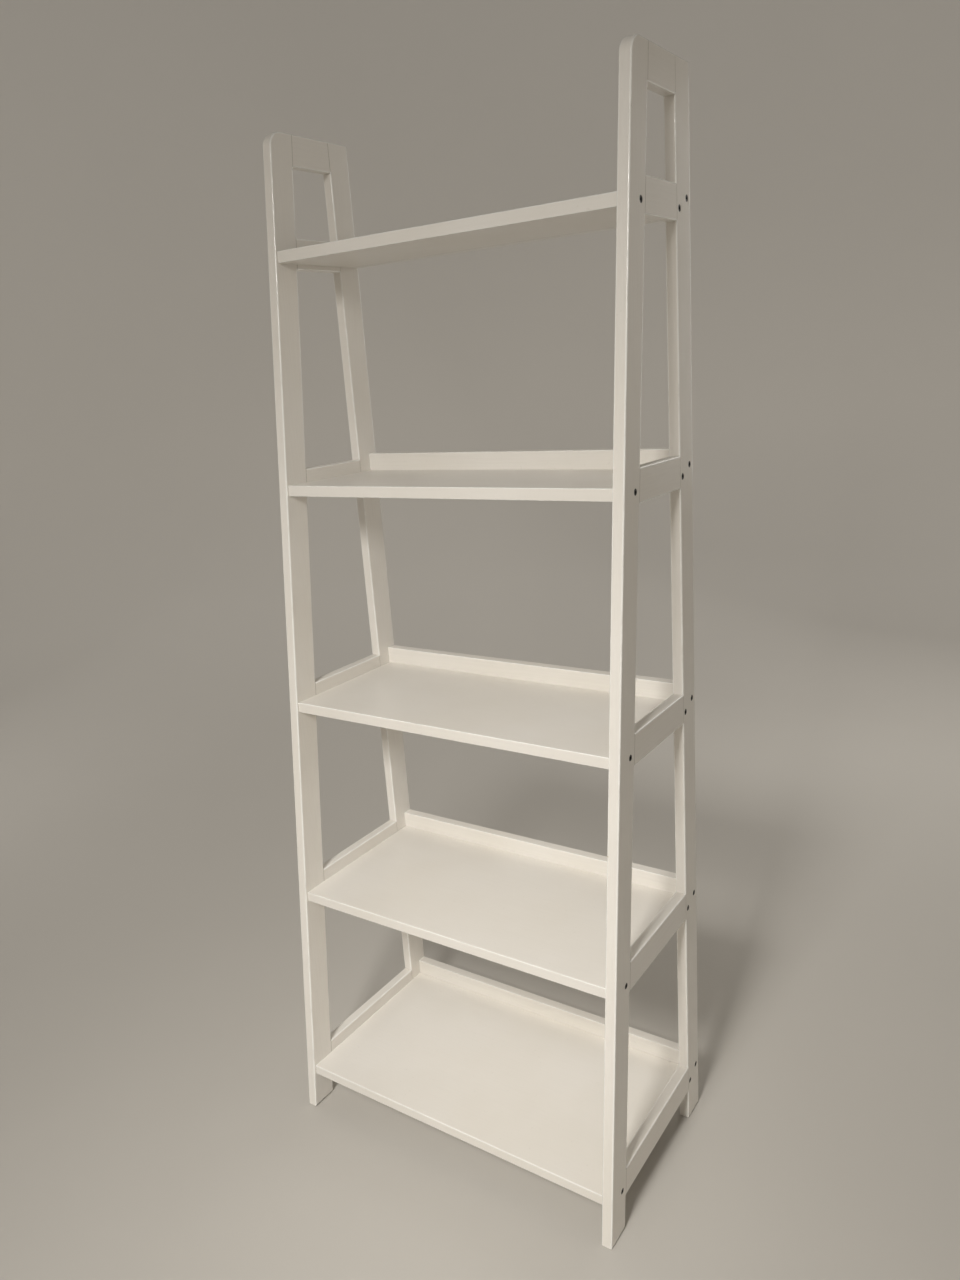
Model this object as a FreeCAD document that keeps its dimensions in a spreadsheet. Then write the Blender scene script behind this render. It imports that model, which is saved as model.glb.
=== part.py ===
# Ladder shelf: two leaning side frames, doweled from flat boards, carry five shelves and their
# back lips on countersunk screws. Millimetres; X across, Y from front to back, Z up; the origin
# is on the floor, at the middle of the footprint.
import FreeCAD, Part
import os
import Sketcher

Vector = FreeCAD.Vector
Placement = FreeCAD.Placement
Rotation = FreeCAD.Rotation

# ---- Driving dimensions --------------------------------------------------------------------

DIMENSIONS = {
    "overall_height": 1704,
    "overall_depth": 360,
    "inner_width": 600,
    "lean_angle": 6,
    "board_thick": 18,
    "board_width": 48,
    "corner_radius": 25,
    "edge_radius": 2,
    "shelf_setback": 3,
    "shelf_level_1": 85,
    "shelf_level_2": 432,
    "shelf_level_3": 784,
    "shelf_level_4": 1156,
    "shelf_level_5": 1525,
    "rail_rise": 22,
    "screw_head": 10,
    "screw_rim": 1,
    "screw_taper": 2,
    "screw_shank": 7,
    "screw_length": 50,
    "screw_point": 3,
    "socket_flats": 4,
    "socket_depth": 3,
    "front_screw_inset": 35.5,
    "rear_screw_inset": 38.5,
    "dowel_width": 8,
    "dowel_length": 30,
    "dowel_chamfer": 1,
    "dowel_spacing": 30,
    "bore_slack": 1,
    "lip_dowel_spacing": 200,
    "lip_dowel_in_lip": 12,
    "glide_width": 16,
    "glide_thick": 2,
    "glide_round": 1,
    "nail_width": 2,
    "nail_length": 14,
}

SHELF_COUNT = 5
SIDES = {"left": -1, "right": 1}

doc = FreeCAD.newDocument("LadderShelf")
sheet = doc.addObject("Spreadsheet::Sheet", "Dimensions")
for row, (alias, size) in enumerate(DIMENSIONS.items(), start=1):
    sheet.set(f"A{row}", alias)
    sheet.set(f"B{row}", str(size))
    sheet.setAlias(f"B{row}", alias)
doc.recompute()


def dim(alias):
    """A dimension's name as an expression reads it."""
    return f"Dimensions.{alias}"


def value(expression):
    """The number that an expression gives now."""
    return float(sheet.evalExpression(expression))


# ---- Places that several sub-parts share, as expressions ------------------------------------

HALF_DEPTH = f"{dim('overall_depth')} / 2"
HALF_THICK = f"{dim('board_thick')} / 2"
HALF_WIDTH = f"{dim('board_width')} / 2"
LEG_LEVEL_WIDTH = f"{dim('board_width')} / cos({dim('lean_angle')})"
REAR_LEG_FRONT = f"({HALF_DEPTH} - {dim('board_width')})"
LIP_BACK = f"({HALF_DEPTH} - {dim('shelf_setback')})"
LIP_FRONT = f"({LIP_BACK} - {dim('board_thick')})"


def front_edge(height):
    """Y of the leaning front leg's front edge at a height; the lean starts at the foot."""
    return f"(-{HALF_DEPTH} + ({height} - {dim('glide_thick')}) * tan({dim('lean_angle')}))"


def front_leg_back(height):
    """Y of the front leg's back edge at a height, where rails and header meet it."""
    return f"({front_edge(height)} + {LEG_LEVEL_WIDTH})"


def level(number):
    """Z of a shelf's upper face."""
    return dim(f"shelf_level_{number}")


def panel_front(number):
    """Y of a shelf's upright front face, a little behind the legs' front edge."""
    return f"({front_edge(level(number))} + {dim('shelf_setback')})"


def panel_middle(number):
    """Z of the middle of a shelf's thickness."""
    return f"({level(number)} - {HALF_THICK})"


def rail_top(number):
    return f"({level(number)} + {dim('rail_rise')})"


def frame_inner_x(side):
    """X of the face of a side frame that the shelves meet."""
    return f"({SIDES[side]} * {dim('inner_width')} / 2)"


def frame_outer_x(side):
    return f"({SIDES[side]} * ({dim('inner_width')} / 2 + {dim('board_thick')}))"


def frame_middle_x(side):
    return f"({SIDES[side]} * ({dim('inner_width')} / 2 + {HALF_THICK}))"


# ---- Sketches and blanks ---------------------------------------------------------------------

def origin_feature(body, role):
    """One of a body's own origin planes or axes."""
    return next(feature for feature in body.Origin.OriginFeatures if feature.Role == role)


def hold(sketch, kind, line, coordinate, name):
    """Fix one coordinate of a line's start point to an expression measured from the origin."""
    if coordinate == "0":
        axis = -2 if kind == "DistanceX" else -1
        sketch.addConstraint(Sketcher.Constraint("PointOnObject", line, 1, axis))
        return
    constraint = Sketcher.Constraint(kind, -1, 1, line, 1, value(coordinate))
    index = sketch.addConstraint(constraint)
    sketch.renameConstraint(index, name)
    sketch.setExpression(f"Constraints.{name}", coordinate)


def outline(body, plane_role, corners):
    """A closed sketch of straight sides; each corner is a pair of expressions."""
    sketch = body.newObject("Sketcher::SketchObject", f"{body.Name}_outline")
    sketch.AttachmentSupport = [(origin_feature(body, plane_role), "")]
    sketch.MapMode = "FlatFace"
    points = [Vector(value(across), value(up), 0) for across, up in corners]
    count = len(points)
    for line in range(count):
        sketch.addGeometry(Part.LineSegment(points[line], points[(line + 1) % count]))
    for line in range(count):
        sketch.addConstraint(Sketcher.Constraint("Coincident", line, 2, (line + 1) % count, 1))
    for line, (across, up) in enumerate(corners):
        hold(sketch, "DistanceX", line, across, f"across_{line}")
        hold(sketch, "DistanceY", line, up, f"up_{line}")
    return sketch


def edges_where(shape, wanted):
    """Names of a shape's edges that pass a test."""
    return [f"Edge{number}" for number, edge in enumerate(shape.Edges, start=1) if wanted(edge)]


def direction(edge):
    """Unit vector along a straight edge, with no sign; none for a curved edge."""
    if edge.Curve.TypeId != "Part::GeomLine":
        return None
    along = edge.Curve.Direction
    return Vector(abs(along.x), abs(along.y), abs(along.z))


def along_x(edge):
    along = direction(edge)
    return along is not None and along.x > 0.999


def along_y(edge):
    along = direction(edge)
    return along is not None and along.y > 0.999


def round_edges(body, base, name, wanted, radius):
    """Round the edges that pass a test."""
    doc.recompute()
    fillet = body.newObject("PartDesign::Fillet", f"{body.Name}_{name}")
    fillet.Base = (base, edges_where(base.Shape, wanted))
    fillet.setExpression("Radius", radius)
    body.Tip = fillet
    return fillet


def board(name, corners, start_x, length_x):
    """A flat board: its side outline in the YZ plane, padded along X from start_x."""
    body = doc.addObject("PartDesign::Body", f"{name}_blank")
    pad = body.newObject("PartDesign::Pad", f"{name}_pad")
    pad.Profile = outline(body, "YZ_Plane", corners)
    pad.setExpression("Length", length_x)
    body.setExpression("Placement.Base.x", start_x)
    body.Tip = pad
    return body, pad


def turned(name, plane_role, axis_role, profile):
    """A round piece: a half profile turned about one of the body's axes."""
    body = doc.addObject("PartDesign::Body", name)
    turn = body.newObject("PartDesign::Revolution", f"{name}_turn")
    turn.Profile = outline(body, plane_role, profile)
    turn.ReferenceAxis = (origin_feature(body, axis_role), [""])
    turn.Angle = 360
    body.Tip = turn
    return body


# ---- Fasteners: one pattern piece of each, and the bore it leaves ------------------------------

def screw_profile(nose, tip):
    """Half profile along X: flush head with a short rim and taper, shank, and pointed end."""
    head = f"{dim('screw_head')} / 2"
    shank = f"{dim('screw_shank')} / 2"
    taper_end = f"({dim('screw_rim')} + {dim('screw_taper')})"
    return [
        (nose, "0"),
        (nose, head),
        (dim("screw_rim"), head),
        (taper_end, shank),
        (f"({tip} - {dim('screw_point')})", shank),
        (tip, f"{shank} / 2"),
        (tip, "0"),
    ]


def make_screw():
    """A countersunk screw along +X, its head's face at the origin, with a hexagon socket."""
    blank = turned("screw_blank", "XY_Plane", "X_Axis", screw_profile("0", dim("screw_length")))
    socket = doc.addObject("Part::Prism", "screw_socket")
    socket.Polygon = 6
    socket.setExpression("Circumradius", f"{dim('socket_flats')} / 2 / cos(30)")
    socket.setExpression("Height", dim("socket_depth"))
    socket.Placement = Placement(Vector(), Rotation(Vector(0, 1, 0), 90))
    screw = doc.addObject("Part::Cut", "screw_pattern")
    screw.Base = blank
    screw.Tool = socket
    return screw


def make_screw_bore():
    """The stepped hole that the screw sits in, a little deeper than its point."""
    depth = f"({dim('screw_length')} + {dim('bore_slack')})"
    return turned("screw_bore", "XY_Plane", "X_Axis", screw_profile(f"-{dim('bore_slack')}", depth))


def make_dowel(name, length, chamfered):
    """A dowel, or its bore, along Y and centred on the origin."""
    body = turned(name, "XY_Plane", "Y_Axis", [
        ("0", f"-({length}) / 2"),
        (f"{dim('dowel_width')} / 2", f"-({length}) / 2"),
        (f"{dim('dowel_width')} / 2", f"({length}) / 2"),
        ("0", f"({length}) / 2"),
    ])
    if chamfered:
        doc.recompute()
        turn = body.Tip
        chamfer = body.newObject("PartDesign::Chamfer", f"{name}_chamfer")
        rims = edges_where(turn.Shape, lambda edge: edge.Curve.TypeId == "Part::GeomCircle")
        chamfer.Base = (turn, rims)
        chamfer.setExpression("Size", dim("dowel_chamfer"))
        body.Tip = chamfer
    return body


def make_glide():
    """A nail-on glide: a domed disc on the floor and a nail up into the leg."""
    disc = f"{dim('glide_width')} / 2"
    nail = f"{dim('nail_width')} / 2"
    nail_top = f"({dim('glide_thick')} + {dim('nail_length')})"
    body = turned("glide_blank", "XZ_Plane", "Z_Axis", [
        ("0", "0"),
        (disc, "0"),
        (disc, dim("glide_thick")),
        (nail, dim("glide_thick")),
        (nail, f"({nail_top} - {dim('nail_width')})"),
        ("0", nail_top),
    ])
    bottom_rim = lambda edge: edge.BoundBox.ZMax < 0.01
    round_edges(body, body.Tip, "dome", bottom_rim, dim("glide_round"))
    return body


def make_nail_bore():
    """The hole a glide's nail leaves in the leg above it."""
    nail = f"{dim('nail_width')} / 2"
    top = f"({dim('glide_thick')} + {dim('nail_length')} + {dim('bore_slack')})"
    return turned("nail_bore", "XZ_Plane", "Z_Axis", [
        ("0", "0"),
        (nail, "0"),
        (nail, top),
        ("0", top),
    ])


dowel_bore_length = f"{dim('dowel_length')} + 2 * {dim('bore_slack')}"
screw = make_screw()
screw_bore = make_screw_bore()
dowel = make_dowel("dowel_pattern", dim("dowel_length"), chamfered=True)
dowel_bore = make_dowel("dowel_bore", dowel_bore_length, chamfered=False)
glide = make_glide()
nail_bore = make_nail_bore()


# ---- Where the fasteners go -----------------------------------------------------------------

def screw_places(side):
    """Three screws at each shelf: front leg to panel, rear leg to panel, rear leg to lip."""
    places = []
    outer = frame_outer_x(side)
    for number in range(1, SHELF_COUNT + 1):
        middle = panel_middle(number)
        lip_middle = f"({level(number)} - {dim('board_thick')} + {HALF_WIDTH})"
        front_y = f"({front_edge(middle)} + {dim('front_screw_inset')})"
        rear_y = f"({HALF_DEPTH} - {dim('rear_screw_inset')})"
        lip_y = f"({LIP_BACK} - {HALF_THICK})"
        places += [(outer, front_y, middle), (outer, rear_y, middle), (outer, lip_y, lip_middle)]
    return places


def frame_dowel_places(side):
    """Two dowels at both ends of every rail and of the header."""
    tops = [rail_top(number) for number in range(1, SHELF_COUNT + 1)]
    tops.append(dim("overall_height"))
    places = []
    middle_x = frame_middle_x(side)
    for top in tops:
        for shift in (-1, 1):
            height = f"({top} - {HALF_WIDTH} + {shift} * {dim('dowel_spacing')} / 2)"
            places.append((middle_x, front_leg_back(height), height))
            places.append((middle_x, REAR_LEG_FRONT, height))
    return places


def lip_dowel_places():
    """Three dowels between each shelf's rear edge and its lip."""
    middle_y = f"({LIP_FRONT} + {dim('lip_dowel_in_lip')} - {dim('dowel_length')} / 2)"
    places = []
    for number in range(1, SHELF_COUNT + 1):
        for step in (-1, 0, 1):
            places.append((f"({step} * {dim('lip_dowel_spacing')})", middle_y, panel_middle(number)))
    return places


def glide_places(side):
    """One glide under the middle of each foot: front leg first, then rear leg."""
    front_y = f"({front_edge(dim('glide_thick'))} + {LEG_LEVEL_WIDTH} / 2)"
    rear_y = f"({HALF_DEPTH} - {HALF_WIDTH})"
    return [(frame_middle_x(side), front_y, "0"), (frame_middle_x(side), rear_y, "0")]


def copy_at(pattern, name, place, turn=Rotation()):
    """A linked copy of a pattern piece, its position bound to the sheet."""
    link = doc.addObject("App::Link", name)
    link.LinkedObject = pattern
    link.Placement = Placement(Vector(), turn)
    for axis, coordinate in zip("xyz", place):
        link.setExpression(f"Placement.Base.{axis}", coordinate)
    return link


def group(name, pattern, places, turn=Rotation()):
    """Separate copies of one pattern piece, held as one compound."""
    copies = [copy_at(pattern, f"{name}_{i}", place, turn) for i, place in enumerate(places, 1)]
    compound = doc.addObject("Part::Compound", name)
    compound.Links = copies
    return compound


INWARD = {"left": Rotation(), "right": Rotation(Vector(0, 0, 1), 180)}
sub_parts = []


def finish(piece, label):
    """Label a finished sub-part and keep it for export."""
    piece.Label = label
    sub_parts.append(piece)


def drill(blank, bores, label):
    """A finished board: its blank less every bore that reaches it."""
    tool = doc.addObject("Part::Compound", f"{label}_bores")
    tool.Links = bores
    cut = doc.addObject("Part::Cut", f"{label}_drilled")
    cut.Base = blank
    cut.Tool = tool
    finish(cut, label)


# ---- Side frames ------------------------------------------------------------------------------

def frame_board(label, side, corners):
    """The blank of a board that stands in a side frame."""
    start_x = frame_inner_x(side) if side == "right" else frame_outer_x(side)
    return board(label, corners, start_x, dim("board_thick"))


def front_leg(side, bores):
    """Leans back from the floor to the top, where its front corner is rounded."""
    foot = dim("glide_thick")
    top = dim("overall_height")
    label = f"{side}_front_leg"
    body, pad = frame_board(label, side, [
        (front_edge(foot), foot),
        (front_leg_back(foot), foot),
        (front_leg_back(top), top),
        (front_edge(top), top),
    ])
    top_y = value(front_edge(top))
    doc.recompute()
    front_corner = lambda edge: along_x(edge) and Vector(0, top_y, value(top)).distanceToPoint(
        Vector(0, edge.BoundBox.YMin, edge.BoundBox.ZMin)) < 0.01
    corner = round_edges(body, pad, "corner", front_corner, dim("corner_radius"))
    round_edges(body, corner, "eased", lambda edge: not along_x(edge), dim("edge_radius"))
    drill(body, bores, label)


def rear_leg(side, bores):
    """Stands upright at the back."""
    foot = dim("glide_thick")
    top = dim("overall_height")
    label = f"{side}_rear_leg"
    body, pad = frame_board(label, side, [
        (REAR_LEG_FRONT, foot),
        (HALF_DEPTH, foot),
        (HALF_DEPTH, top),
        (REAR_LEG_FRONT, top),
    ])
    round_edges(body, pad, "eased", lambda edge: not along_x(edge), dim("edge_radius"))
    drill(body, bores, label)


def cross_board(label, side, top, bores):
    """A rail or header between the legs, its front end cut to the front leg's lean."""
    bottom = f"({top} - {dim('board_width')})"
    body, pad = frame_board(label, side, [
        (front_leg_back(bottom), bottom),
        (REAR_LEG_FRONT, bottom),
        (REAR_LEG_FRONT, top),
        (front_leg_back(top), top),
    ])
    round_edges(body, pad, "eased", along_y, dim("edge_radius"))
    drill(body, bores, label)


screw_bores = {}
for side in SIDES:
    screw_bores[side] = group(f"{side}_screw_bores", screw_bore, screw_places(side), INWARD[side])
    dowel_bores = group(f"{side}_dowel_bores", dowel_bore, frame_dowel_places(side))
    nail_bores = group(f"{side}_nail_bores", nail_bore, glide_places(side))
    leg_bores = [screw_bores[side], dowel_bores, nail_bores]
    front_leg(side, leg_bores)
    rear_leg(side, leg_bores)
    cross_board(f"{side}_header", side, dim("overall_height"), [dowel_bores])
    for number in range(1, SHELF_COUNT + 1):
        cross_board(f"{side}_rail_{number}", side, rail_top(number), [dowel_bores])


# ---- Shelves and back lips ----------------------------------------------------------------------

def cross_piece(label, front, back, bottom, top, bores):
    """A board that runs from frame to frame, with its long edges eased."""
    corners = [(front, bottom), (back, bottom), (back, top), (front, top)]
    body, pad = board(label, corners, frame_inner_x("left"), dim("inner_width"))
    round_edges(body, pad, "eased", along_x, dim("edge_radius"))
    drill(body, bores, label)


lip_bores = group("lip_dowel_bores", dowel_bore, lip_dowel_places())
shelf_bores = [screw_bores["left"], screw_bores["right"], lip_bores]
for number in range(1, SHELF_COUNT + 1):
    top = level(number)
    bottom = f"({top} - {dim('board_thick')})"
    lip_top = f"({bottom} + {dim('board_width')})"
    cross_piece(f"shelf_{number}", panel_front(number), LIP_FRONT, bottom, top, shelf_bores)
    cross_piece(f"back_lip_{number}", LIP_FRONT, LIP_BACK, bottom, lip_top, shelf_bores)


# ---- Fasteners and glides in their places --------------------------------------------------------

for side in SIDES:
    finish(group(f"{side}_screw_group", screw, screw_places(side), INWARD[side]), f"{side}_screws")
    dowels = group(f"{side}_dowel_group", dowel, frame_dowel_places(side))
    finish(dowels, f"{side}_frame_dowels")
    for foot, place in zip(("front", "rear"), glide_places(side)):
        finish(copy_at(glide, f"{side}_{foot}_glide_copy", place), f"{side}_{foot}_glide")
finish(group("lip_dowel_group", dowel, lip_dowel_places()), "lip_dowels")


# ---- Checks and files -----------------------------------------------------------------------------

def check_document():
    """Stop if any feature failed, or any sub-part has no sound solid."""
    for item in doc.Objects:
        if "Invalid" in item.State or "Error" in item.State:
            raise RuntimeError(f"{item.Label} did not recompute: {item.State}")
    for piece in sub_parts:
        if piece.Shape.isNull() or not piece.Shape.isValid() or not piece.Shape.Solids:
            raise RuntimeError(f"{piece.Label} has no valid solid")


def check_bores():
    """Stop if a drilled board lost nothing to its bores."""
    for piece in sub_parts:
        if piece.TypeId == "Part::Cut" and piece.Shape.Volume > piece.Base.Shape.Volume - 1:
            raise RuntimeError(f"{piece.Label} was not drilled")


doc.recompute()
check_document()
check_bores()
os.makedirs("parts", exist_ok=True)
for piece in sub_parts:
    piece.Shape.exportStep(f"parts/{piece.Label}.step")
    solids = len(piece.Shape.Solids)
    print(f"{piece.Label}: {solids} solid(s), {piece.Shape.Volume / 1000:.1f} cm3")
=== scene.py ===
# %% [markdown]
# # A white ladder shelf
# The frame is the shelf's own CAD model: every board, screw and dowel in its place, in metres.
# Blender may not move or resize it, so this file loads it first and reads every size from it.
# Each visible piece is then modelled again with softer edges and finer detail, and painted.

# %% Load the frame
import bmesh
import bpy
from math import atan, cos, pi, radians, sin, tan
from mathutils import Matrix, Vector


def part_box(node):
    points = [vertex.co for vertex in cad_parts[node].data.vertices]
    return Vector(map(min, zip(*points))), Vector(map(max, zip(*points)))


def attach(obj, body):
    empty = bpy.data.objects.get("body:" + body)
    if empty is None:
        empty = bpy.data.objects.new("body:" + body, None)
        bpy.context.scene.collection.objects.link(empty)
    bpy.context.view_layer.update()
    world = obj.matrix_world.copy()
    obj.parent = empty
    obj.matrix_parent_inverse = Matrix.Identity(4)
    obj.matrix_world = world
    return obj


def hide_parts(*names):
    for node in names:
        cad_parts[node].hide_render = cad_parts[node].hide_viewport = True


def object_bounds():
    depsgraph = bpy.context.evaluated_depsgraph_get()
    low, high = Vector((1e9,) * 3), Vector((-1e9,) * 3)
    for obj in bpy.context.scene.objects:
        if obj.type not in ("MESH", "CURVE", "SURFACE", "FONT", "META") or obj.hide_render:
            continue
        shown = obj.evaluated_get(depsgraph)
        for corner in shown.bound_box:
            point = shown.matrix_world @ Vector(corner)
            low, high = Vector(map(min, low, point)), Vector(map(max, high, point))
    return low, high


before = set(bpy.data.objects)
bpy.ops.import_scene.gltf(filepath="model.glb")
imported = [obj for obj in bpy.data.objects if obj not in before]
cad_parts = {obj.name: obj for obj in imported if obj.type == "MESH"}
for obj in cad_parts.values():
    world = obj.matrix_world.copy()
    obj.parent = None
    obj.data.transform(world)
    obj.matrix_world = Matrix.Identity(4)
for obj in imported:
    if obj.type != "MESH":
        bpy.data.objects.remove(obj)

cad_low, cad_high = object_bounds()
print("CAD box:", tuple(cad_low), tuple(cad_high))

# %% [markdown]
# The camera comes first, because every later choice is judged through it. A phone held at
# chest height, a little to the right, looks down at the shelf, and is not held quite level.
# Its turn is built up as a photographer would: face the way, tilt down, then roll.

# %% Camera
eye = Vector((0.8757, -1.2237, 1.3210))
heading = radians(34.686)
tilt = radians(-15.645)
roll = radians(-4.111)
sensor_long_side = 36.0
focal_length = 27.127

camera = bpy.data.cameras.new("camera")
camera.sensor_width = sensor_long_side
camera.lens = focal_length
camera_object = bpy.data.objects.new("camera", camera)
bpy.context.scene.collection.objects.link(camera_object)
camera_object.matrix_world = (
    Matrix.Translation(eye)
    @ Matrix.Rotation(heading, 4, "Z")
    @ Matrix.Rotation(radians(90) + tilt, 4, "X")
    @ Matrix.Rotation(roll, 4, "Z")
)
bpy.context.scene.camera = camera_object
print("camera at", tuple(eye), "lens", focal_length)

# %% [markdown]
# White paint only reads as white when its faces differ: fronts brightest, shelf tops a shade
# below, the outer sides in half shadow. In an ordinary room one shaded ceiling lamp in front
# does that. It shines mostly downwards, so the low shelves are brighter than the top. Two
# beams from one place make that fall-off, broad lamps round the shelf fill in, and a dim sky
# closes the open top of the studio. The plain "Standard" view keeps the whites as they are.

# %% Soft studio light
def soft_light(name, place, aim, size, power, spread=180):
    """A square lamp at a place, turned to face a point; spread is its beam's angle."""
    lamp = bpy.data.lights.new(name, "AREA")
    lamp.size = size
    lamp.spread = radians(spread)
    lamp.energy = power
    lamp.color = lamp_white
    lamp_object = bpy.data.objects.new(name, lamp)
    bpy.context.scene.collection.objects.link(lamp_object)
    lamp_object.visible_camera = False
    aimed = (aim - place).to_track_quat("-Z", "Y")
    lamp_object.matrix_world = Matrix.Translation(place) @ aimed.to_matrix().to_4x4()


lamp_white = (1.0, 0.975, 0.93)
sky_strength = 0.1
lamp_size = 0.5
fill_size = 1.4
ceiling_lamp = Vector((0.42, -2.04, 2.16))
middle_height = Vector((0, 0, 0.8))
soft_light("beam", ceiling_lamp, Vector((0, -0.1, 0.4)), lamp_size, 6.4, spread=80)
soft_light("low_beam", ceiling_lamp, Vector((0.1, -0.2, 0)), lamp_size, 3.2, spread=60)
soft_light("left_fill", Vector((-2.6, 0, 1.2)), middle_height, fill_size, 5.0)
soft_light("right_fill", Vector((2.4, -0.8, 1.2)), middle_height, fill_size, 0.9)
soft_light("back_fill", Vector((0.3, 2.4, 1.5)), middle_height, fill_size, 11.0)
sky = bpy.data.worlds.new("sky")
sky.use_nodes = True
background = sky.node_tree.nodes["Background"]
background.inputs["Color"].default_value = (*lamp_white, 1)
background.inputs["Strength"].default_value = sky_strength
bpy.context.scene.world = sky
bpy.context.scene.view_settings.view_transform = "Standard"

# %% [markdown]
# Every finish is a small node tree. These helpers keep a tree readable: `add` makes a node
# and fills its sockets, and the others make the few nodes that every finish needs.

# %% Node helpers
def add(tree, kind, links=None, **settings):
    """A node with its properties set; links maps inputs to values or to sockets."""
    node = tree.nodes.new(kind)
    for name, setting in settings.items():
        setattr(node, name, setting)
    for socket, source in (links or {}).items():
        if isinstance(source, bpy.types.NodeSocket):
            tree.links.new(source, node.inputs[socket])
        else:
            node.inputs[socket].default_value = source
    return node


def remap(tree, source, from_low, from_high, to_low, to_high):
    """source, stretched from one range to another and held inside it."""
    node = add(tree, "ShaderNodeMapRange", {
        "Value": source,
        "From Min": from_low,
        "From Max": from_high,
        "To Min": to_low,
        "To Max": to_high,
    })
    return node.outputs["Result"]


def mix_colour(tree, amount, first, second, blend="MIX"):
    """Two colours mixed by an amount."""
    node = add(tree, "ShaderNodeMix", {"Factor": amount}, data_type="RGBA", blend_type=blend)
    for socket, source in ((node.inputs[6], first), (node.inputs[7], second)):
        if isinstance(source, bpy.types.NodeSocket):
            tree.links.new(source, socket)
        else:
            socket.default_value = source
    return node.outputs[2]


def new_finish(name):
    """An empty material and the shader that it ends in."""
    material = bpy.data.materials.new(name)
    material.use_nodes = True
    return material, material.node_tree, material.node_tree.nodes["Principled BSDF"]


def noise(tree, where, scale, detail=2.0, roughness=0.5):
    """Noise texture, about zero to one."""
    node = add(tree, "ShaderNodeTexNoise", {
        "Vector": where,
        "Scale": scale,
        "Detail": detail,
        "Roughness": roughness,
    })
    return node.outputs["Fac"]


print("node helpers:", [helper.__name__ for helper in (add, remap, mix_colour, new_finish, noise)])

# %% [markdown]
# The boards wear two coats of satin water-based white. Close up it is not one colour: the
# wood's grain lifts the film into long low ridges, the roller leaves a fine stipple between
# them, the coat is a touch thinner and yellower in places, and hands have rubbed the rounded
# edges smoother and a little greyer. The grain runs along each board, so the same tree is
# made once for each direction, with the noise squeezed along that axis. Each face of a board
# carries a number, `edge_kind`: 1 on a rounded edge, -1 in a seam, 0 elsewhere. The paint
# reads it: rounded edges get a painted highlight, a brighter white, and are made smoother;
# seams get painted shade, a darker colour for the shadow in the joint.

# %% Satin white paint
white = (0.83, 0.80, 0.752, 1)
thin_coat = (0.795, 0.76, 0.70, 1)
rubbed = (0.70, 0.665, 0.61, 1)
bare_wood = (0.50, 0.38, 0.25, 1)
# Painted highlight: a brighter white laid on rounded edges so they show a bright line.
edge_highlight_white = (0.93, 0.915, 0.88, 1)
# Painted shade: a darker colour standing in for the shadow in a joint's gap.
seam_shade = (0.50, 0.47, 0.42, 1)


def satin_paint(name, squeeze, turn=(0, 0, 0), grain=1.0):
    """White paint whose grain is squeezed by a vector of scales, after a turn."""
    material, tree, shader = new_finish(name)
    place = add(tree, "ShaderNodeTexCoord").outputs["Object"]
    mapping = {"Vector": place, "Rotation": turn, "Scale": squeeze}
    along = add(tree, "ShaderNodeMapping", mapping).outputs["Vector"]
    edge_kind = add(tree, "ShaderNodeAttribute", attribute_name="edge_kind").outputs["Fac"]
    worn_and_highlit_face = remap(tree, edge_kind, 0.0, 1.0, 0.0, 1.0)
    seam_shade_face = remap(tree, edge_kind, -1.0, 0.0, 1.0, 0.0)

    cloud = noise(tree, place, 4.5, 3.0)
    streak = noise(tree, along, 330.0, 4.0, 0.6)
    ridge = noise(tree, along, 760.0, 3.0, 0.55)
    stipple = noise(tree, place, 900.0, 2.0)
    speck = noise(tree, place, 160.0, 1.0)

    body = mix_colour(tree, remap(tree, cloud, 0.35, 0.68, 0.0, 1.0), white, thin_coat)
    veined = remap(tree, streak, 0.42, 0.72, 0.0, 0.22 * grain)
    body = mix_colour(tree, veined, body, rubbed)
    dust = remap(tree, speck, 0.74, 0.78, 0.0, 0.35)
    body = mix_colour(tree, dust, body, rubbed)
    # Painted highlight: rounded edges get the brighter white.
    body = mix_colour(tree, worn_and_highlit_face, body, edge_highlight_white)
    rub_patch = remap(tree, noise(tree, place, 26.0, 4.0, 0.6), 0.50, 0.70, 0.0, 0.45)
    rub = add(tree, "ShaderNodeMath", {0: rub_patch, 1: worn_and_highlit_face}, operation="MULTIPLY")
    body = mix_colour(tree, rub.outputs["Value"], body, rubbed)
    chip_patch = remap(tree, noise(tree, place, 95.0, 3.0, 0.7), 0.735, 0.75, 0.0, 1.0)
    chip = add(tree, "ShaderNodeMath", {0: chip_patch, 1: worn_and_highlit_face}, operation="MULTIPLY")
    body = mix_colour(tree, chip.outputs["Value"], body, bare_wood)
    # Painted shade: seams get the darker colour of a shadowed gap.
    body = mix_colour(tree, seam_shade_face, body, seam_shade)
    tree.links.new(body, shader.inputs["Base Color"])

    satin = remap(tree, noise(tree, place, 11.0, 3.0), 0.3, 0.7, 0.30, 0.38)
    burnish = {0: worn_and_highlit_face, 1: -0.10, 2: satin}
    gloss = add(tree, "ShaderNodeMath", burnish, operation="MULTIPLY_ADD")
    tree.links.new(gloss.outputs["Value"], shader.inputs["Roughness"])
    shader.inputs["Specular IOR Level"].default_value = 0.5
    buffed = add(tree, "ShaderNodeMath", {0: worn_and_highlit_face, 1: 0.8}, operation="MULTIPLY")
    tree.links.new(buffed.outputs["Value"], shader.inputs["Coat Weight"])
    shader.inputs["Coat Roughness"].default_value = 0.14

    lines = add(tree, "ShaderNodeBump", {
        "Height": ridge,
        "Strength": 0.30 * grain,
        "Distance": 0.00012,
    })
    skin = add(tree, "ShaderNodeBump", {
        "Height": stipple,
        "Strength": 0.22,
        "Distance": 0.00008,
        "Normal": lines.outputs["Normal"],
    })
    tree.links.new(skin.outputs["Normal"], shader.inputs["Normal"])
    return material


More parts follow.
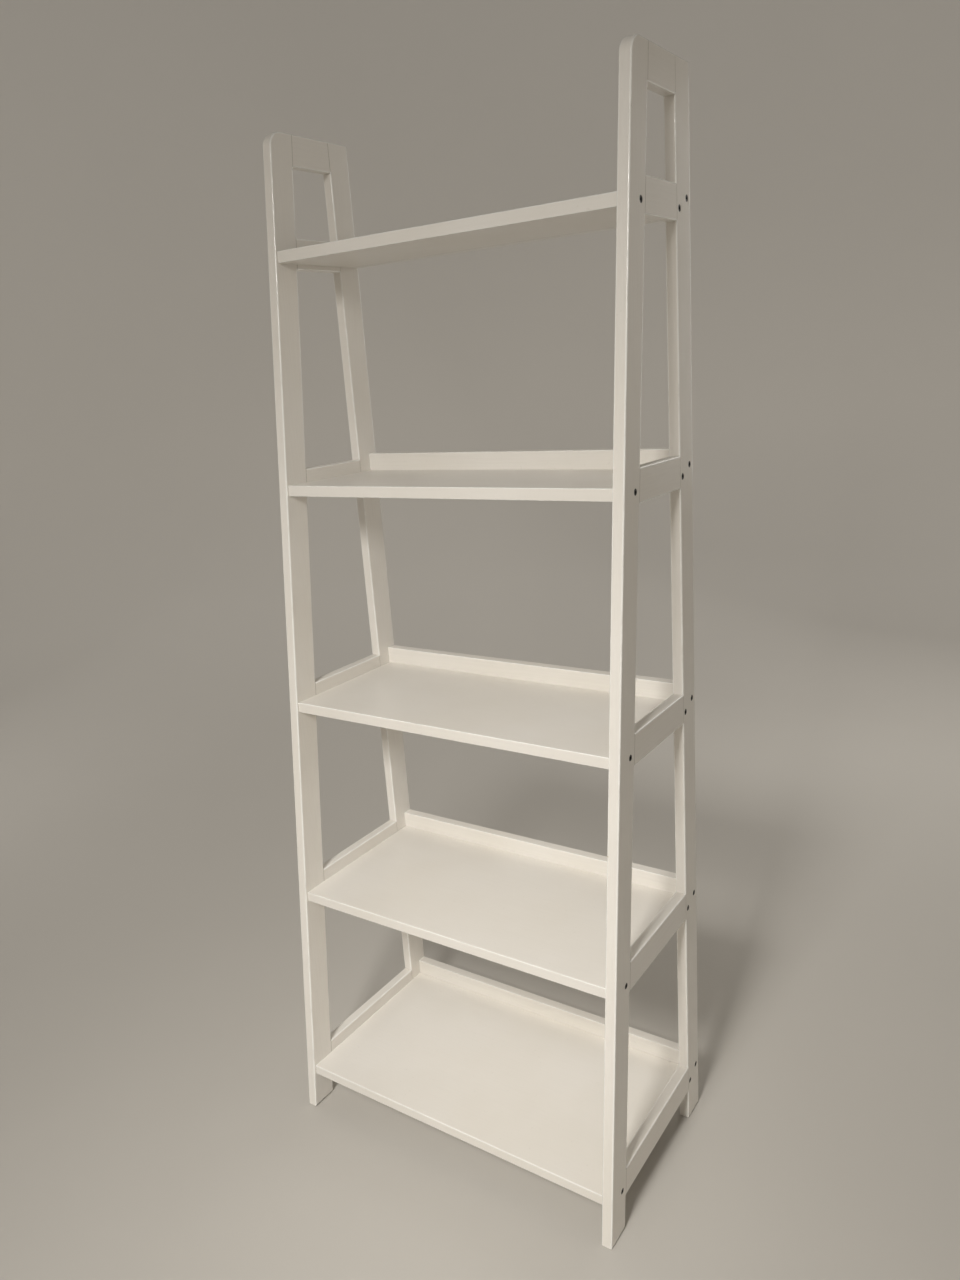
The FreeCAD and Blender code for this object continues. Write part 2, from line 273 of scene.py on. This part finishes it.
level_names = [f"shelf_{number}" for number in range(1, 6)]
lowest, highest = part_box(level_names[0]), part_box(level_names[-1])
lean_slope = (highest[0].y - lowest[0].y) / (highest[1].z - lowest[1].z)
lean = atan(lean_slope)
along_grain = 0.035

paint_upright = satin_paint("paint_upright", (1, 1, along_grain))
paint_leaning = satin_paint("paint_leaning", (1, 1, along_grain), (lean, 0, 0))
paint_cross = satin_paint("paint_cross", (1, along_grain, 1))
paint_long = satin_paint("paint_long", (along_grain, 1, 1))
paint_panel = satin_paint("paint_panel", (along_grain, 1, 1), grain=0.45)
print("lean in degrees:", round(lean * 180 / pi, 3))

# %% [markdown]
# A board starts as a cube stretched between two corners. What makes it a painted board and
# not a block is its edges: rounded by a pass of sandpaper, so that each one catches a thin
# bright line. `bevel` rounds them with four segments and marks the faces it makes in
# `edge_kind`. Shelves keep crisper edges than the legs, which hands hold. Normals are weighed
# by area and never blend across more than the crease angle, so big faces shade as flat. The
# three tolerances say how close two points count as one, from strictest to loosest.

# %% Board helpers
edge_radius = 0.002
crisp_radius = 0.0013
edge_segments = 4
seam_width = 0.0006
# Face kinds: rounded edges carry real wear and a painted highlight, seams carry painted shade.
WORN_AND_HIGHLIT = 1.0
PLAIN = 0.0
SHADED_SEAM = -1.0
flat_enough = 0.3
crease_angle = radians(40)
snap = 1e-7
weld = 1e-6
slack = 1e-5


def block(low, high):
    """A cube stretched between two corners."""
    bm = bmesh.new()
    bm.faces.layers.float.new("edge_kind")
    bmesh.ops.create_cube(bm, size=1.0)
    bmesh.ops.scale(bm, vec=high - low, verts=bm.verts)
    bmesh.ops.translate(bm, vec=(low + high) / 2, verts=bm.verts)
    return bm


def runs_along(edge, axis):
    """True where an edge runs along an axis, given as 0, 1 or 2."""
    run = edge.verts[1].co - edge.verts[0].co
    return abs(run[axis]) > 0.999 * run.length


def arrises(bm):
    """The edges where two faces meet at an angle, as on a sawn board."""
    bm.normal_update()
    return [edge for edge in bm.edges if edge.calc_face_angle(0) > flat_enough]


def round_off(bm, edges, radius, segments, kind=WORN_AND_HIGHLIT):
    """Round edges, and mark what kind of edge the new faces are."""
    made = bmesh.ops.bevel(
        bm,
        geom=edges,
        offset=radius,
        offset_type="OFFSET",
        segments=segments,
        profile=0.5,
        affect="EDGES",
        material=-1,
        clamp_overlap=False,
    )
    mark = bm.faces.layers.float["edge_kind"]
    for face in made["faces"]:
        face[mark] = kind


def settle(bm):
    """Sort the faces, because bmesh operators leave them in another order each time."""
    bm.verts.index_update()
    many = len(bm.verts)
    bm.faces.sort(key=lambda face: face.verts[0].index * many + face.verts[1].index)


def shade(mesh):
    """Give every corner of a face the mean normal of the faces there that lean its way."""
    meeting = {}
    for face in mesh.polygons:
        for vertex in face.vertices:
            meeting.setdefault(vertex, []).append(face)
    normals = []
    for face in mesh.polygons:
        for vertex in face.vertices:
            near = [
                other.normal * other.area
                for other in meeting[vertex]
                if other.normal.dot(face.normal) > cos(crease_angle)
            ]
            normals.append(sum(near, Vector()).normalized())
    mesh.normals_split_custom_set(normals)


def finish_piece(bm, name, node, finish):
    """Turn a bmesh into a piece that replaces a CAD node, rides on the root body and has its
    finish.
    """
    bmesh.ops.recalc_face_normals(bm, faces=bm.faces)
    for face in bm.faces:
        face.smooth = True
    settle(bm)
    mesh = bpy.data.meshes.new(name)
    bm.to_mesh(mesh)
    bm.free()
    shade(mesh)
    mesh.materials.append(finish)
    piece = bpy.data.objects.new(name, mesh)
    bpy.context.scene.collection.objects.link(piece)
    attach(piece, "root")
    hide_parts(node)
    return piece


# %% [markdown]
# The screws decide where the legs need holes. The CAD model holds each side's fifteen
# screws in one node, so this cell finds the separate islands in a merged copy of that mesh,
# and keeps the middle of each one's head.

# %% Find the screws
def islands(node):
    """Boxes, as (low, high), of the separate solids in a CAD node, from the floor up."""
    bm = bmesh.new()
    bm.from_mesh(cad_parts[node].data)
    bmesh.ops.remove_doubles(bm, verts=bm.verts, dist=weld)
    unseen = set(bm.verts)
    boxes = []
    for start in bm.verts:
        if start not in unseen:
            continue
        unseen.remove(start)
        found = [start]
        waiting = [start]
        while waiting:
            vert = waiting.pop()
            for edge in vert.link_edges:
                other = edge.other_vert(vert)
                if other in unseen:
                    unseen.remove(other)
                    found.append(other)
                    waiting.append(other)
        low = Vector(min(v.co[axis] for v in found) for axis in range(3))
        high = Vector(max(v.co[axis] for v in found) for axis in range(3))
        boxes.append((low, high))
    bm.free()
    return sorted(boxes, key=lambda box: (round(box[0].z, 4), round(box[0].y, 4)))


SIDES = {"left": -1, "right": 1}
screw_boxes = {side: islands(f"{side}_screws") for side in SIDES}
head_radius = (screw_boxes["left"][0][1].z - screw_boxes["left"][0][0].z) / 2
outer_x = cad_high.x


def head_places(side):
    """The middle of every screw head on one side frame's outer face."""
    x = SIDES[side] * outer_x
    middles = [(low + high) / 2 for low, high in screw_boxes[side]]
    return [Vector((x, middle.y, middle.z)) for middle in middles]


print("screws a side:", len(head_places("left")), "head radius mm:", round(head_radius * 1000, 2))

# %% [markdown]
# A countersunk hole is cut into the leg's outer face. Four `bisect_plane` cuts frame a small
# square round the screw, its sides are split into short edges, and its corners are pulled
# onto a circle. Extruding that circle inwards, step by step, gives a softened mouth, a short
# wall and a cone, which is what a countersink bit leaves.

# %% Countersinks
cell_half = head_radius * 1.35
hole_steps = [
    (head_radius * 1.07, 0.0),
    (head_radius * 1.01, 0.00022),
    (head_radius * 0.99, 0.0012),
    (head_radius * 0.66, 0.0030),
]


def face_at(bm, point, outward):
    """The face that looks outward and holds the point."""
    for face in bm.faces:
        level = abs((face.verts[0].co - point).dot(outward)) < slack
        if level and face.normal.dot(outward) > 0.999:
            if bmesh.geometry.intersect_face_point(face, point):
                return face
    raise ValueError("no face at this point")


def sink(bm, centre, outward):
    """Cut a countersunk hole in a board's outer face."""
    bm.normal_update()
    for direction in (Vector((0, 0, 1)), Vector((0, 0, -1)), Vector((0, 1, 0)), Vector((0, -1, 0))):
        cell = face_at(bm, centre, outward)
        bmesh.ops.bisect_plane(
            bm,
            geom=[cell, *cell.edges, *cell.verts],
            dist=snap,
            plane_co=centre + direction * cell_half,
            plane_no=direction,
        )
        bm.normal_update()
    cell = face_at(bm, centre, outward)
    bmesh.ops.bisect_edges(bm, edges=list(cell.edges), cuts=5)
    for radius, depth in hole_steps:
        inner = bmesh.ops.extrude_discrete_faces(bm, faces=[cell])["faces"][0]
        for vert in inner.verts:
            spoke = vert.co - centre
            spoke.x = 0
            vert.co = centre + spoke.normalized() * radius - outward * depth
        cell = inner


# %% [markdown]
# A front leg is an upright board sheared back: its foot stays level on the floor and its top
# stays level too, as on the real leg, whose ends are sawn off the square. Its top front
# corner is rounded like a thumbnail. The frame was rounded after it was glued together, so
# the sandpaper never reached the edge behind a rail. `bisect_plane` marks where each rail
# begins and ends, and the stretches between those marks keep their sharp edge. A hair's
# width beside that edge is marked as seam and gets painted shade: a darker colour that stands
# in for the shadow in the joint's gap.

# %% Legs
corner_radius = 0.025
corner_segments = 14
RAILS = [f"rail_{number}" for number in range(1, 6)]


def joint_spans(side):
    """Lowest and highest level of every rail and of the header."""
    boxes = [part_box(f"{side}_{part}") for part in [*RAILS, "header"]]
    return [(low.z, high.z) for low, high in boxes]


def score(bm, height):
    """Cut a line round everything at a height."""
    geometry = [*bm.verts, *bm.edges, *bm.faces]
    plane = {"plane_co": (0, 0, height), "plane_no": (0, 0, 1)}
    bmesh.ops.bisect_plane(bm, geom=geometry, dist=weld, **plane)


def make_leg(side, place, slope, finish):
    """A leg that leans by a slope, rounded except where rails meet it, with screw holes."""
    node = f"{side}_{place}_leg"
    low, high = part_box(node)
    width = (high.y - low.y) - slope * (high.z - low.z)
    bm = block(low, Vector((high.x, low.y + width, high.z)))
    shear = Matrix.Identity(4)
    shear[1][2] = slope
    foot = Matrix.Translation(low)
    bmesh.ops.transform(bm, matrix=foot @ shear @ foot.inverted(), verts=bm.verts)

    def from_front(point):
        """How far a point is behind the leg's front edge at its own height."""
        return point.y - low.y - slope * (point.z - low.z)

    if place == "front":
        across = [edge for edge in bm.edges if runs_along(edge, 0)]
        top_front = min(across, key=lambda e: from_front(e.verts[0].co) - e.verts[0].co.z)
        setback = corner_radius / tan((pi / 2 + atan(slope)) / 2)
        round_off(bm, [top_front], setback, corner_segments, PLAIN)
    spans = joint_spans(side)
    for height in sorted({height for span in spans for height in span}):
        if height < high.z - edge_radius:
            score(bm, height)
    joint_face = width if place == "front" else 0

    def is_open(edge):
        """False along the stretches that a rail covers."""
        middle = (edge.verts[0].co + edge.verts[1].co) / 2
        at_joint = abs(from_front(middle) - joint_face) < slack
        return not (at_joint and any(start < middle.z < end for start, end in spans))

    outline = [edge for edge in arrises(bm) if not runs_along(edge, 0) and is_open(edge)]
    round_off(bm, outline, edge_radius, edge_segments)

    def in_joint(face):
        """True for a side face's stretch behind a rail or the header."""
        middle = face.calc_center_median()
        return abs(face.normal.x) > 0.999 and any(start < middle.z < end for start, end in spans)

    bm.normal_update()
    into_leg = 1 if place == "rear" else -1
    stretch = [face for face in bm.faces if in_joint(face)]
    stretch_edges = dict.fromkeys(edge for face in stretch for edge in face.edges)
    stretch_verts = dict.fromkeys(vert for face in stretch for vert in face.verts)
    bmesh.ops.bisect_plane(
        bm,
        geom=[*stretch, *stretch_edges, *stretch_verts],
        dist=snap,
        plane_co=low + Vector((0, joint_face + into_leg * seam_width, 0)),
        plane_no=(0, 1, -slope),
    )
    mark = bm.faces.layers.float["edge_kind"]
    for face in bm.faces:
        depth = abs(from_front(face.calc_center_median()) - joint_face)
        # Painted shade: these strips beside the joint get the seam's darker colour.
        if in_joint(face) and depth < seam_width:
            face[mark] = SHADED_SEAM
    outward = Vector((SIDES[side], 0, 0))
    for head in head_places(side):
        if 0 < from_front(head) < width:
            sink(bm, head, outward)
    return finish_piece(bm, f"{node}_board", node, finish)


for side in SIDES:
    front_leg = make_leg(side, "front", lean_slope, paint_leaning)
    rear_leg = make_leg(side, "rear", 0, paint_upright)
    for leg in (front_leg, rear_leg):
        print(leg.name, "faces:", len(leg.data.polygons))

# %% [markdown]
# Rails and headers are short boards between the legs. The front end is sawn to the leg's
# lean: `bisect_plane` cuts the block along the leg's back face and clears the waste, and
# `edgeloop_fill` closes the cut. The long edges are rounded like the legs'. The ends only get
# a hair's chamfer, which leaves a fine seam at a joint; that chamfer gets painted shade, the
# seam's darker colour for the shadow in the gap.

# %% Rails and headers
def make_cross_board(side, part):
    """A rail or header, its front end cut to meet the leaning leg."""
    node = f"{side}_{part}"
    low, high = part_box(node)
    bm = block(low, high)
    bmesh.ops.bisect_plane(
        bm,
        geom=[*bm.verts, *bm.edges, *bm.faces],
        dist=snap,
        plane_co=low,
        plane_no=(0, -cos(lean), sin(lean)),
        clear_outer=True,
    )
    bmesh.ops.edgeloop_fill(bm, edges=[edge for edge in bm.edges if edge.is_boundary])
    bmesh.ops.dissolve_degenerate(bm, dist=weld, edges=bm.edges)
    long_edges = [edge for edge in arrises(bm) if runs_along(edge, 1)]
    round_off(bm, long_edges, edge_radius, edge_segments)
    bm.normal_update()
    ends = [face for face in bm.faces if abs(face.normal.y) > 0.9]
    rims = dict.fromkeys(edge for face in ends for edge in face.edges)
    # Painted shade: the end chamfers get the seam's darker colour.
    round_off(bm, list(rims), seam_width, 1, SHADED_SEAM)
    return finish_piece(bm, f"{node}_board", node, paint_cross)


for side in SIDES:
    for part in ["header", *RAILS]:
        board = make_cross_board(side, part)
        print(board.name, "faces:", len(board.data.polygons))

# %% [markdown]
# Shelves and back lips are separate boards that were rounded before they were screwed to the
# frames, so all their edges are soft, at the ends too. Only the back edge of a shelf, which is
# doweled tight against its lip, is nearly sharp; its hair's chamfer gets painted shade, the
# seam's darker colour for the shadow in that joint.

# %% Shelves and back lips
def make_long_board(node, finish, tight_back):
    """A board from frame to frame, rounded everywhere except at a tight back edge."""
    low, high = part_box(node)
    bm = block(low, high)

    def at_back(edge):
        """True for an edge on the board's back face."""
        return all(vert.co.y > high.y - weld for vert in edge.verts)

    soft = [edge for edge in bm.edges if not (tight_back and at_back(edge))]
    round_off(bm, soft, crisp_radius, edge_segments)
    if tight_back:
        # Painted shade: the back rim chamfers get the seam's darker colour.
        rims = [edge for edge in arrises(bm) if at_back(edge)]
        round_off(bm, rims, seam_width, 1, SHADED_SEAM)
    return finish_piece(bm, f"{node}_board", node, finish)


for number in range(1, 6):
    panel = make_long_board(f"shelf_{number}", paint_panel, tight_back=True)
    lip = make_long_board(f"back_lip_{number}", paint_long, tight_back=False)
    print(panel.name, len(panel.data.polygons), lip.name, len(lip.data.polygons))

# %% [markdown]
# Each screw is a flat-headed furniture screw with a hexagon socket, oxidised nearly black.
# The head is a ring bridged from a circle to a hexagon. The hexagon is extruded down for
# the socket, and the circle is extruded out and down, loop by loop, for the rim, the cone,
# the shank and the point.

# %% Screws
round_segments = 24
socket_flats = 0.004
socket_depth = 0.003


def grow_loop(bm, loop, radius, depth):
    """Extrude a ring of edges to a new radius and depth along +X; return the new ring."""
    made = bmesh.ops.extrude_edge_only(bm, edges=loop)["geom"]
    for vert in (item for item in made if isinstance(item, bmesh.types.BMVert)):
        spoke = Vector((0, vert.co.y, vert.co.z))
        if radius is not None:
            spoke = spoke.normalized() * radius
        vert.co = Vector((depth, spoke.y, spoke.z))
    return [item for item in made if isinstance(item, bmesh.types.BMEdge) and item.is_boundary]


def ring(bm, segments, radius, depth):
    """A ring of edges round the X axis."""
    facing = Matrix.Translation((depth, 0, 0)) @ Matrix.Rotation(pi / 2, 4, "Y")
    made = bmesh.ops.create_circle(bm, segments=segments, radius=radius, matrix=facing)
    return list(dict.fromkeys(edge for vert in made["verts"] for edge in vert.link_edges))


def make_screw_mesh(length):
    """One screw along +X, its head's face just inside the mouth of its hole."""
    bm = bmesh.new()
    face_depth = 0.0004
    rim = ring(bm, round_segments, head_radius * 0.90, face_depth)
    corner = socket_flats / 2 / cos(pi / 6)
    hexagon = ring(bm, 6, corner, face_depth + 0.0002)
    hexagon += [
        item
        for item in bmesh.ops.bisect_edges(bm, edges=hexagon, cuts=3)["geom_split"]
        if isinstance(item, bmesh.types.BMEdge) and item not in hexagon
    ]
    bmesh.ops.bridge_loops(bm, edges=rim + hexagon)
    floor = grow_loop(bm, hexagon, None, socket_depth)
    bmesh.ops.edgeloop_fill(bm, edges=floor)
    outline = [
        (head_radius * 0.96, face_depth + 0.0003),
        (head_radius * 0.96, 0.0012),
        (head_radius * 0.70, 0.0029),
        (head_radius * 0.70, length - 0.003),
        (head_radius * 0.35, length),
    ]
    for radius, depth in outline:
        rim = grow_loop(bm, rim, radius, depth)
    bmesh.ops.edgeloop_fill(bm, edges=rim)
    bmesh.ops.recalc_face_normals(bm, faces=bm.faces)
    mesh = bpy.data.meshes.new("one_screw")
    bm.to_mesh(mesh)
    bm.free()
    return mesh


def blackened_steel():
    """Oxidised screw steel: nearly black, lighter where the key and hands have rubbed it."""
    material, tree, shader = new_finish("blackened_steel")
    place = add(tree, "ShaderNodeTexCoord").outputs["Object"]
    blotch = noise(tree, place, 420.0, 4.0, 0.6)
    rubbed_patch = remap(tree, blotch, 0.5, 0.7, 0.0, 0.5)
    colour = mix_colour(tree, rubbed_patch, (0.03, 0.028, 0.027, 1), (0.11, 0.105, 0.10, 1))
    tree.links.new(colour, shader.inputs["Base Color"])
    tree.links.new(remap(tree, blotch, 0.3, 0.7, 0.34, 0.58), shader.inputs["Roughness"])
    shader.inputs["Metallic"].default_value = 0.7
    scratches = noise(tree, place, 1500.0, 2.0)
    bump = add(tree, "ShaderNodeBump", {"Height": scratches, "Strength": 0.15, "Distance": 0.0001})
    tree.links.new(bump.outputs["Normal"], shader.inputs["Normal"])
    return material


steel = blackened_steel()
screw_length = screw_boxes["left"][0][1].x - screw_boxes["left"][0][0].x
one_screw = make_screw_mesh(screw_length)
for side in SIDES:
    bm = bmesh.new()
    for number, place in enumerate(head_places(side)):
        before = len(bm.verts)
        bm.from_mesh(one_screw)
        bm.verts.ensure_lookup_table()
        inward = Matrix.Rotation(0 if side == "left" else pi, 4, "Z")
        driven = Matrix.Rotation(number * 1.9, 4, "X")
        bmesh.ops.transform(
            bm,
            matrix=Matrix.Translation(place) @ inward @ driven,
            verts=bm.verts[before:],
        )
    piece = finish_piece(bm, f"{side}_screws_turned", f"{side}_screws", steel)
    print(piece.name, "faces:", len(piece.data.polygons))

# %% [markdown]
# Under each foot sits a small nail-on glide of dark plastic. Its half outline, from the
# middle out, is spun round the upright axis.

# %% Glides
def dark_plastic():
    """Moulded plastic with a fine even texture and scuffed patches."""
    material, tree, shader = new_finish("dark_plastic")
    place = add(tree, "ShaderNodeTexCoord").outputs["Object"]
    scuff = noise(tree, place, 180.0, 4.0, 0.6)
    scuffed = remap(tree, scuff, 0.45, 0.7, 0.0, 0.6)
    colour = mix_colour(tree, scuffed, (0.05, 0.042, 0.036, 1), (0.12, 0.10, 0.085, 1))
    tree.links.new(colour, shader.inputs["Base Color"])
    tree.links.new(remap(tree, scuff, 0.3, 0.7, 0.45, 0.7), shader.inputs["Roughness"])
    grain = noise(tree, place, 2200.0, 1.0)
    bump = add(tree, "ShaderNodeBump", {"Height": grain, "Strength": 0.25, "Distance": 0.00008})
    tree.links.new(bump.outputs["Normal"], shader.inputs["Normal"])
    return material


plastic = dark_plastic()


def make_glide(node):
    """A glide spun from its half outline: domed foot, flat top and nail."""
    low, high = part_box(node)
    middle = Vector(((low.x + high.x) / 2, (low.y + high.y) / 2, low.z))
    radius = (high.x - low.x) / 2
    foot_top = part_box(node.replace("glide", "leg"))[0].z
    nail = 0.001
    outline = [
        (0, 0),
        (radius - 0.0012, 0),
        (radius - 0.0006, 0.00015),
        (radius - 0.0002, 0.0005),
        (radius, 0.001),
        (radius, foot_top - 0.0002),
        (radius - 0.0002, foot_top),
        (nail, foot_top),
        (nail, high.z - low.z - 2 * nail),
        (0, high.z - low.z),
    ]
    bm = bmesh.new()
    bm.faces.layers.float.new("edge_kind")
    verts = [bm.verts.new((across, 0, up)) for across, up in outline]
    edges = [bm.edges.new(pair) for pair in zip(verts, verts[1:])]
    bmesh.ops.spin(
        bm,
        geom=verts + edges,
        cent=(0, 0, 0),
        axis=(0, 0, 1),
        angle=2 * pi,
        steps=32,
        use_merge=True,
    )
    bmesh.ops.remove_doubles(bm, verts=bm.verts, dist=snap)
    bmesh.ops.translate(bm, vec=middle, verts=bm.verts)
    return finish_piece(bm, f"{node}_foot", node, plastic)


for side in SIDES:
    for foot in ("front", "rear"):
        print(make_glide(f"{side}_{foot}_glide").name)

# %% [markdown]
# The dowels are out of sight inside the joints. Their CAD solids are already right, so they
# stay and only get a finish: bare beech, with its grain along the dowel.

# %% Beech dowels
def bare_beech():
    """Turned beech: pinkish tan with short dark flecks along Y."""
    material, tree, shader = new_finish("bare_beech")
    place = add(tree, "ShaderNodeTexCoord").outputs["Object"]
    squeezed = add(tree, "ShaderNodeMapping", {"Vector": place, "Scale": (1, 0.05, 1)})
    grain = noise(tree, squeezed.outputs["Vector"], 700.0, 4.0, 0.6)
    fleck = remap(tree, grain, 0.35, 0.7, 0.0, 1.0)
    colour = mix_colour(tree, fleck, (0.62, 0.43, 0.27, 1), (0.42, 0.26, 0.15, 1))
    tree.links.new(colour, shader.inputs["Base Color"])
    tree.links.new(remap(tree, grain, 0.3, 0.7, 0.55, 0.75), shader.inputs["Roughness"])
    bump = add(tree, "ShaderNodeBump", {"Height": grain, "Strength": 0.3, "Distance": 0.0001})
    tree.links.new(bump.outputs["Normal"], shader.inputs["Normal"])
    return material


beech = bare_beech()
for node in ("left_frame_dowels", "right_frame_dowels", "lip_dowels"):
    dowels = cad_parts[node]
    dowels.data.materials.clear()
    dowels.data.materials.append(beech)
    print(node, "keeps its CAD mesh")

# %% [markdown]
# The shelf stands in a round studio: a pale floor that sweeps up into a wall with no corner,
# so there is no horizon line behind it from any side. Away from the shelf it glows faintly,
# like the cloth of a light tent, which keeps undersides and far sides open. Half of the
# studio's outline is drawn as two straight edges, `bevel` turns their corner into the sweep,
# and `spin` takes the outline once round the upright axis.

# %% Studio floor and wall
def pale_studio():
    """Matt paint that glows more and more away from the middle of the floor."""
    material, tree, shader = new_finish("pale_studio")
    place = add(tree, "ShaderNodeTexCoord").outputs["Object"]
    flat = add(tree, "ShaderNodeMapping", {"Vector": place, "Scale": (1, 1, 0)})
    reach = add(tree, "ShaderNodeVectorMath", {0: flat.outputs["Vector"]}, operation="LENGTH")
    outward = remap(tree, reach.outputs["Value"], 0.6, 3.0, 0.0, 1.0)
    drift = noise(tree, place, 1.5, 3.0)
    floor_tone = mix_colour(tree, drift, (0.54, 0.515, 0.475, 1), (0.57, 0.545, 0.505, 1))
    tree.links.new(floor_tone, shader.inputs["Base Color"])
    shader.inputs["Roughness"].default_value = 0.75
    shader.inputs["Emission Color"].default_value = (1.0, 0.945, 0.86, 1)
    glow = add(tree, "ShaderNodeMath", {0: outward, 1: studio_glow}, operation="MULTIPLY")
    tree.links.new(glow.outputs["Value"], shader.inputs["Emission Strength"])
    return material


studio_glow = 0.13
studio_radius = 3.3
studio_height = 5.2
studio_sweep = 1.1

bm = bmesh.new()
middle = bm.verts.new((0, 0, 0))
corner = bm.verts.new((studio_radius, 0, 0))
top = bm.verts.new((studio_radius, 0, studio_height))
profile = [bm.edges.new((middle, corner)), bm.edges.new((corner, top))]
bmesh.ops.bevel(
    bm,
    geom=[corner],
    offset=studio_sweep,
    segments=16,
    profile=0.5,
    affect="VERTICES",
    material=-1,
)
bmesh.ops.spin(
    bm,
    geom=[*bm.verts, *bm.edges],
    cent=(0, 0, 0),
    axis=(0, 0, 1),
    angle=2 * pi,
    steps=96,
    use_merge=True,
)
bmesh.ops.remove_doubles(bm, verts=bm.verts, dist=slack)
bmesh.ops.recalc_face_normals(bm, faces=bm.faces)
floor_faces = [face for face in bm.faces if face.calc_center_median().z < weld]
if floor_faces[0].normal.z < 0:
    bmesh.ops.reverse_faces(bm, faces=bm.faces)
for face in bm.faces:
    face.smooth = True
studio_mesh = bpy.data.meshes.new("studio")
settle(bm)
bm.to_mesh(studio_mesh)
bm.free()
studio_mesh.materials.append(pale_studio())
studio = bpy.data.objects.new("studio", studio_mesh)
bpy.context.scene.collection.objects.link(studio)
print("studio faces:", len(studio_mesh.polygons), "floor faces:", len(floor_faces))
